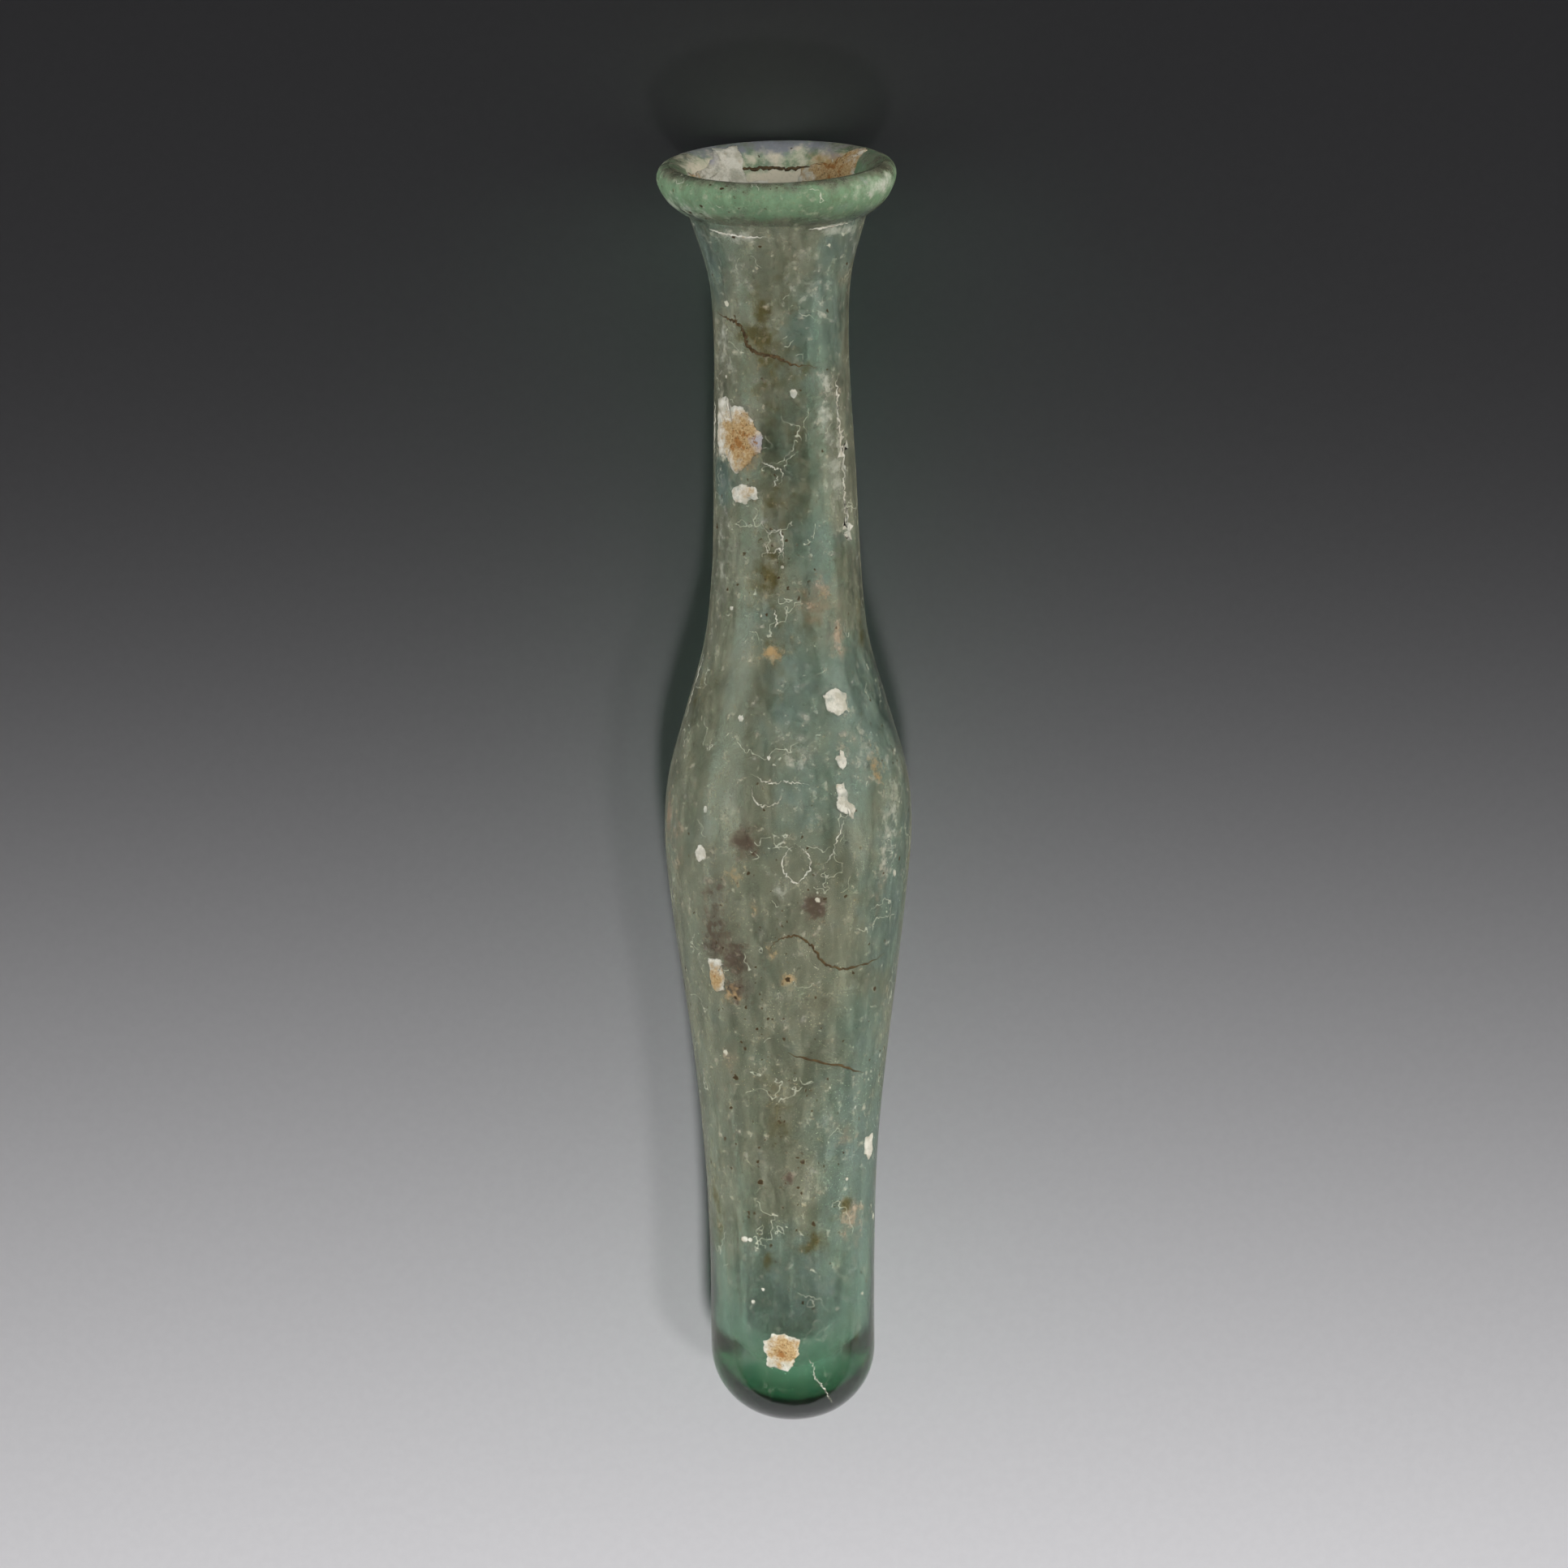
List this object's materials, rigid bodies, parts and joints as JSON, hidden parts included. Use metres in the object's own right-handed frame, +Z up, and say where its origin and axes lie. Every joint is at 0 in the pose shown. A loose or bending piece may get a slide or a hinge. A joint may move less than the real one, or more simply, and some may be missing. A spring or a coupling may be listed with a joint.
{
  "type": "glass unguentarium",
  "caption": "Slender spindle-shaped blown glass flask with a folded collar rim, a swelling body and a rounded base, lying on its side.",
  "frame": {"origin": "on the ground under the middle of the bounding box of the lying flask", "axes": "+Y along the flask from its base to its mouth, +Z up, +X across"},
  "size_m": [0.027, 0.1406, 0.0268],
  "materials": {
    "glass": "transparent blue-green glass, lightly pitted and clouded by burial",
    "weathering_crust": "matt enamel-like weathering crust, cream to ochre, thin and flaking",
    "soil_film": "dull brown and milky soil film, thin and patchy"
  },
  "bodies": {
    "root": {"unguentarium": "glass"}
  },
  "joints": []
}
